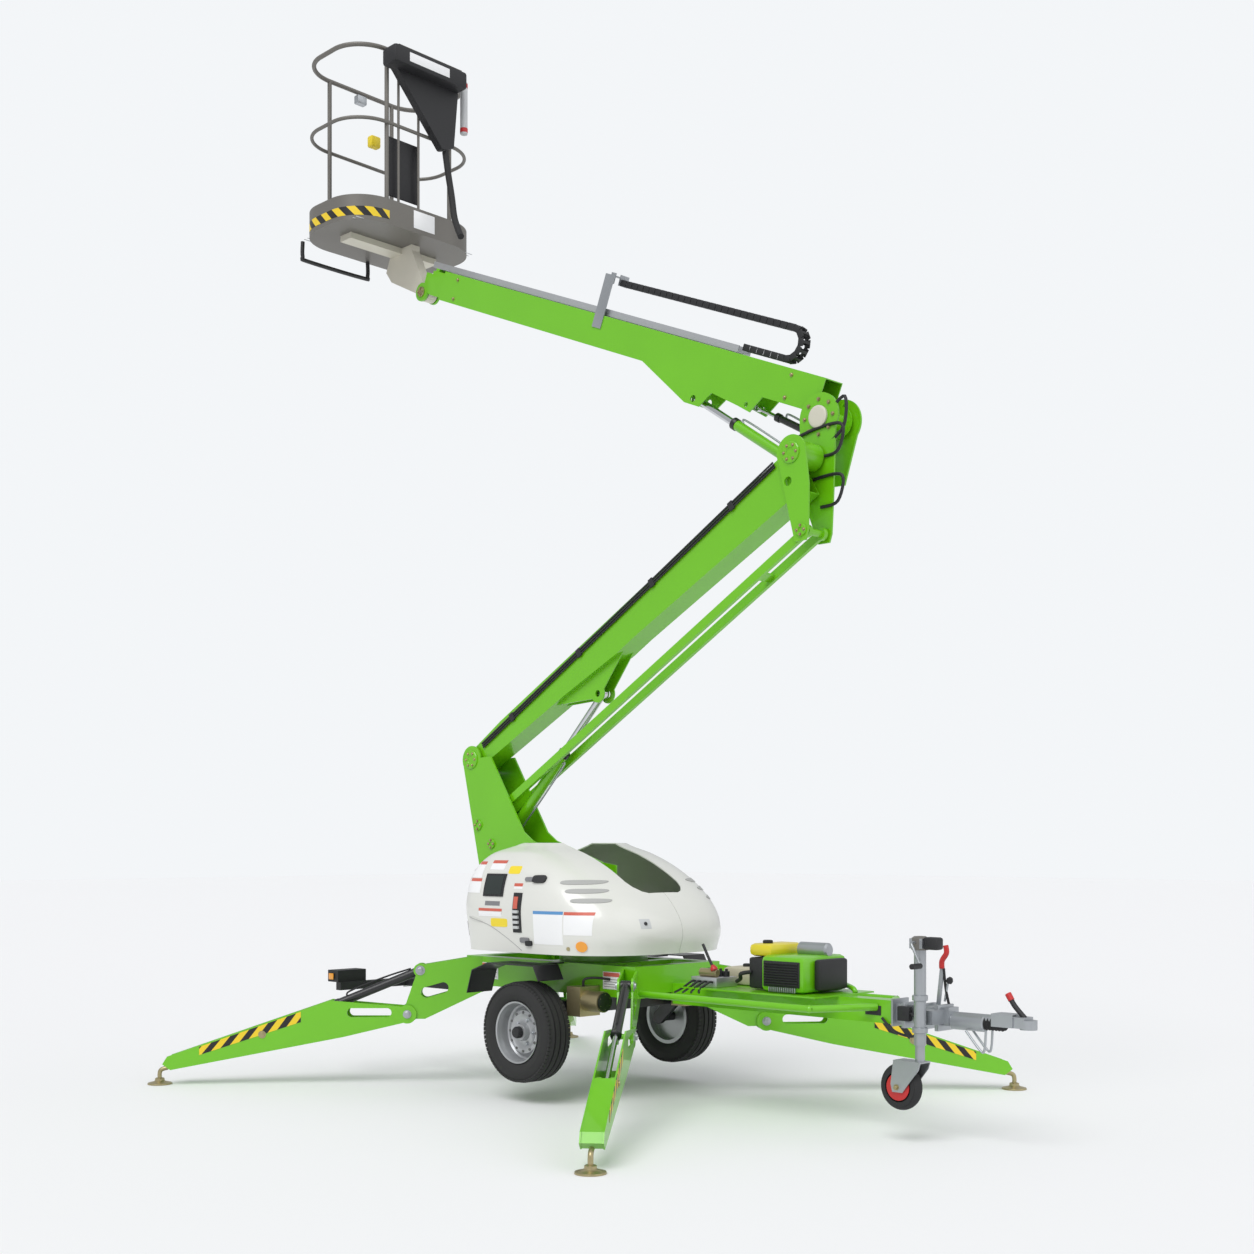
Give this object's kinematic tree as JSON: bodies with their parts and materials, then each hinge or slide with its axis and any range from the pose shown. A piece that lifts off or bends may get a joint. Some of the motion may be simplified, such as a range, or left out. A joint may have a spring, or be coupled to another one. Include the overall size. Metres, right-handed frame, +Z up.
{
  "type": "trailer mounted articulated boom lift",
  "caption": "Towable articulated boom lift with telescopic upper boom, levelled work cage, slewing post and folding outrigger legs on a two-wheeled trailer.",
  "frame": {"origin": "on the floor under the middle of the road axle, on the slewing axis", "axes": "+X forwards to the tow hitch, +Y to the left side, +Z up"},
  "size_m": [5.4595, 3.7592, 6.8692],
  "materials": {
    "aluminium": "satin",
    "black_paint": "satin",
    "black_plastic": "satin",
    "chrome_rod": "polished",
    "cream_paint": "satin",
    "galvanised": "satin",
    "green_paint": "satin",
    "grey_paint": "satin",
    "hose": "satin",
    "jockey_rubber": "satin",
    "rim": "satin",
    "tyre": "matte",
    "white_grp": "satin",
    "zinc": "satin"
  },
  "bodies": {
    "chassis": {"chassis_frame": "green_paint", "axle": "black_paint", "drawbar": "green_paint", "coupling_head": "galvanised", "hitch_levers": "black_paint", "jockey_tube": "galvanised", "engine": "black_plastic", "hydraulic_unit": "grey_paint", "rear_lights": "black_plastic", "traction_drives": "zinc"},
    "wheel_right": {"tyre_right": "tyre", "rim_right": "rim"},
    "wheel_left": {"tyre_left": "tyre", "rim_left": "rim"},
    "jockey_fork": {"jockey_fork": "galvanised"},
    "jockey_wheel": {"jockey_wheel": "jockey_rubber"},
    "turntable": {"turntable": "green_paint", "post": "green_paint", "power_pack": "grey_paint"},
    "canopy_right": {"canopy_right": "white_grp"},
    "canopy_left": {"canopy_left": "white_grp"},
    "lower_boom": {"lower_boom": "green_paint"},
    "lower_barrel": {"lower_barrel": "green_paint"},
    "lower_rod": {"lower_rod": "chrome_rod"},
    "tie_bars": {"tie_bars": "green_paint"},
    "knuckle": {"knuckle": "green_paint"},
    "upper_boom": {"upper_boom": "green_paint", "chain_bracket": "galvanised", "chain_upper": "black_plastic"},
    "upper_barrel": {"upper_barrel": "green_paint"},
    "upper_rod": {"upper_rod": "chrome_rod"},
    "level_barrel": {"level_barrel": "black_paint"},
    "level_rod": {"level_rod": "chrome_rod"},
    "chain_bend": {"chain_bend": "black_plastic"},
    "inner_boom": {"inner_boom": "green_paint", "chain_tray": "aluminium", "chain_lower": "black_plastic"},
    "cage": {"cage_mount": "cream_paint", "cage_floor": "grey_paint", "cage_rails": "grey_paint", "control_console": "black_plastic", "console_hose": "hose"},
    "leg_rear_right": {"leg_rear_right": "green_paint", "foot_rear_right": "zinc"},
    "leg_barrel_rear_right": {"leg_barrel_rear_right": "black_paint"},
    "leg_rod_rear_right": {"leg_rod_rear_right": "chrome_rod"},
    "leg_rear_left": {"leg_rear_left": "green_paint", "foot_rear_left": "zinc"},
    "leg_barrel_rear_left": {"leg_barrel_rear_left": "black_paint"},
    "leg_rod_rear_left": {"leg_rod_rear_left": "chrome_rod"},
    "leg_front_right": {"leg_front_right": "green_paint", "foot_front_right": "zinc"},
    "leg_barrel_front_right": {"leg_barrel_front_right": "black_paint"},
    "leg_rod_front_right": {"leg_rod_front_right": "chrome_rod"},
    "leg_front_left": {"leg_front_left": "green_paint", "foot_front_left": "zinc"},
    "leg_barrel_front_left": {"leg_barrel_front_left": "black_paint"},
    "leg_rod_front_left": {"leg_rod_front_left": "chrome_rod"}
  },
  "joints": [
    {"name": "wheel_right_spin", "type": "hinge", "parent": "chassis", "child": "wheel_right", "pos_m": [0, -0.63, 0.41], "axis": [0, 1, 0], "continuous": true},
    {"name": "wheel_left_spin", "type": "hinge", "parent": "chassis", "child": "wheel_left", "pos_m": [0, 0.63, 0.41], "axis": [0, 1, 0], "continuous": true},
    {"name": "jockey_swivel", "type": "hinge", "parent": "chassis", "child": "jockey_fork", "pos_m": [2.425, -0.19, 0.7], "axis": [0, 0, 1], "continuous": true},
    {"name": "jockey_wheel_spin", "type": "hinge", "parent": "jockey_fork", "child": "jockey_wheel", "pos_m": [2.315, -0.19, 0.285], "axis": [0, 1, 0], "continuous": true},
    {"name": "leg_rear_right_fold", "type": "hinge", "parent": "chassis", "child": "leg_rear_right", "pos_m": [-1.07, -0.66, 0.44], "axis": [-0.7071, 0.7071, 0], "range_deg": [0, 98]},
    {"name": "leg_barrel_rear_right_pivot", "type": "hinge", "parent": "chassis", "child": "leg_barrel_rear_right", "pos_m": [-1.01343, -0.60343, 0.712], "axis": [-0.7071, 0.7071, 0], "range_deg": [0, 97.9]},
    {"name": "leg_rod_rear_right_slide", "type": "slide", "parent": "leg_barrel_rear_right", "child": "leg_rod_rear_right", "axis": [-0.6554, -0.6554, -0.3755], "range_m": [-0.443, 0]},
    {"name": "leg_rear_left_fold", "type": "hinge", "parent": "chassis", "child": "leg_rear_left", "pos_m": [-1.07, 0.66, 0.44], "axis": [0.7071, 0.7071, 0], "range_deg": [0, 98]},
    {"name": "leg_barrel_rear_left_pivot", "type": "hinge", "parent": "chassis", "child": "leg_barrel_rear_left", "pos_m": [-1.01343, 0.60343, 0.712], "axis": [0.7071, 0.7071, 0], "range_deg": [0, 97.9]},
    {"name": "leg_rod_rear_left_slide", "type": "slide", "parent": "leg_barrel_rear_left", "child": "leg_rod_rear_left", "axis": [-0.6554, 0.6554, -0.3755], "range_m": [-0.443, 0]},
    {"name": "leg_front_right_fold", "type": "hinge", "parent": "chassis", "child": "leg_front_right", "pos_m": [0.77, -0.6, 0.44], "axis": [-0.7771, -0.6293, 0], "range_deg": [0, 98]},
    {"name": "leg_barrel_front_right_pivot", "type": "hinge", "parent": "chassis", "child": "leg_barrel_front_right", "pos_m": [0.71965, -0.53783, 0.712], "axis": [-0.7771, -0.6293, 0], "range_deg": [0, 97.9]},
    {"name": "leg_rod_front_right_slide", "type": "slide", "parent": "leg_barrel_front_right", "child": "leg_rod_front_right", "axis": [0.5833, -0.7203, -0.3755], "range_m": [-0.443, 0]},
    {"name": "leg_front_left_fold", "type": "hinge", "parent": "chassis", "child": "leg_front_left", "pos_m": [0.77, 0.6, 0.44], "axis": [0.7771, -0.6293, 0], "range_deg": [0, 98]},
    {"name": "leg_barrel_front_left_pivot", "type": "hinge", "parent": "chassis", "child": "leg_barrel_front_left", "pos_m": [0.71965, 0.53783, 0.712], "axis": [0.7771, -0.6293, 0], "range_deg": [0, 97.9]},
    {"name": "leg_rod_front_left_slide", "type": "slide", "parent": "leg_barrel_front_left", "child": "leg_rod_front_left", "axis": [0.5833, 0.7203, -0.3755], "range_m": [-0.443, 0]},
    {"name": "slew", "type": "hinge", "parent": "chassis", "child": "turntable", "pos_m": [0, 0, 0.83], "axis": [0, 0, 1], "range_deg": [0, 360]},
    {"name": "canopy_right_lid", "type": "hinge", "parent": "turntable", "child": "canopy_right", "pos_m": [0, -0.63, 0.868], "axis": [1, 0, 0], "range_deg": [0, 55]},
    {"name": "canopy_left_lid", "type": "hinge", "parent": "turntable", "child": "canopy_left", "pos_m": [0, 0.63, 0.868], "axis": [-1, 0, 0], "range_deg": [0, 55]},
    {"name": "lower_boom_lift", "type": "hinge", "parent": "turntable", "child": "lower_boom", "pos_m": [-1, -0.1, 2.04], "axis": [0, 1, 0], "range_deg": [-36, 38]},
    {"name": "tie_bars_pivot", "type": "hinge", "parent": "turntable", "child": "tie_bars", "pos_m": [-0.93, -0.1, 1.62], "axis": [0, 1, 0], "range_deg": [-36, 38]},
    {"name": "knuckle_level", "type": "hinge", "parent": "lower_boom", "child": "knuckle", "pos_m": [1.61954, -0.1, 3.57074], "axis": [0, -1, 0], "range_deg": [-36, 38]},
    {"name": "lower_barrel_pivot", "type": "hinge", "parent": "turntable", "child": "lower_barrel", "pos_m": [-0.8, -0.1, 1.5], "axis": [0, 1, 0], "range_deg": [-29.86, 31.5]},
    {"name": "lower_rod_slide", "type": "slide", "parent": "lower_barrel", "child": "lower_rod", "axis": [0.7071, 0, 0.7071], "range_m": [-0.3372, 0.3195]},
    {"name": "upper_boom_lift", "type": "hinge", "parent": "knuckle", "child": "upper_boom", "pos_m": [1.64954, 0.1, 3.79074], "axis": [0, -1, 0], "range_deg": [-50, 35]},
    {"name": "upper_barrel_pivot", "type": "hinge", "parent": "knuckle", "child": "upper_barrel", "pos_m": [1.55954, 0.072, 3.50074], "axis": [0, -1, 0], "range_deg": [-44.97, 31.57]},
    {"name": "upper_rod_slide", "type": "slide", "parent": "upper_barrel", "child": "upper_rod", "axis": [-0.8284, 0, 0.5602], "range_m": [-0.1609, 0.229]},
    {"name": "level_barrel_pivot", "type": "hinge", "parent": "knuckle", "child": "level_barrel", "pos_m": [1.52954, 0.137, 3.73074], "axis": [0, -1, 0], "range_deg": [-55.51, 38.95]},
    {"name": "level_rod_slide", "type": "slide", "parent": "level_barrel", "child": "level_rod", "axis": [-0.8725, 0, 0.4886], "range_m": [-0.0669, 0.0947]},
    {"name": "telescope", "type": "slide", "parent": "upper_boom", "child": "inner_boom", "axis": [0.9205, 0, -0.3907], "range_m": [-2.6, 0], "deforming": ["chain_lower"]},
    {"name": "chain_bend_slide", "type": "slide", "parent": "upper_boom", "child": "chain_bend", "axis": [0.9205, 0, -0.3907], "range_m": [-1.3, 0], "deforming": ["chain_upper"]},
    {"name": "cage_level", "type": "hinge", "parent": "inner_boom", "child": "cage", "pos_m": [-1.82745, 0.1, 5.29922], "axis": [0, 1, 0], "range_deg": [-50, 35], "deforming": ["console_hose"]}
  ],
  "couplings": [
    {"joint": "leg_barrel_rear_right_pivot", "follows": "leg_rear_right_fold", "ratio": 0.9966},
    {"joint": "leg_rod_rear_right_slide", "follows": "leg_rear_right_fold", "m_per_rad": -0.25778},
    {"joint": "leg_barrel_rear_left_pivot", "follows": "leg_rear_left_fold", "ratio": 0.9966},
    {"joint": "leg_rod_rear_left_slide", "follows": "leg_rear_left_fold", "m_per_rad": -0.25778},
    {"joint": "leg_barrel_front_right_pivot", "follows": "leg_front_right_fold", "ratio": 0.9966},
    {"joint": "leg_rod_front_right_slide", "follows": "leg_front_right_fold", "m_per_rad": -0.25778},
    {"joint": "leg_barrel_front_left_pivot", "follows": "leg_front_left_fold", "ratio": 0.9966},
    {"joint": "leg_rod_front_left_slide", "follows": "leg_front_left_fold", "m_per_rad": -0.25778},
    {"joint": "tie_bars_pivot", "follows": "lower_boom_lift", "ratio": 1},
    {"joint": "knuckle_level", "follows": "lower_boom_lift", "ratio": 1},
    {"joint": "lower_barrel_pivot", "follows": "lower_boom_lift", "ratio": 0.82113},
    {"joint": "lower_rod_slide", "follows": "lower_boom_lift", "m_per_rad": -0.50539},
    {"joint": "upper_barrel_pivot", "follows": "upper_boom_lift", "ratio": 0.89334},
    {"joint": "upper_rod_slide", "follows": "upper_boom_lift", "m_per_rad": -0.26011},
    {"joint": "level_barrel_pivot", "follows": "upper_boom_lift", "ratio": 1.1042},
    {"joint": "level_rod_slide", "follows": "upper_boom_lift", "m_per_rad": -0.10619},
    {"joint": "chain_bend_slide", "follows": "telescope", "ratio": 0.5},
    {"joint": "cage_level", "follows": "upper_boom_lift", "ratio": 1}
  ]
}
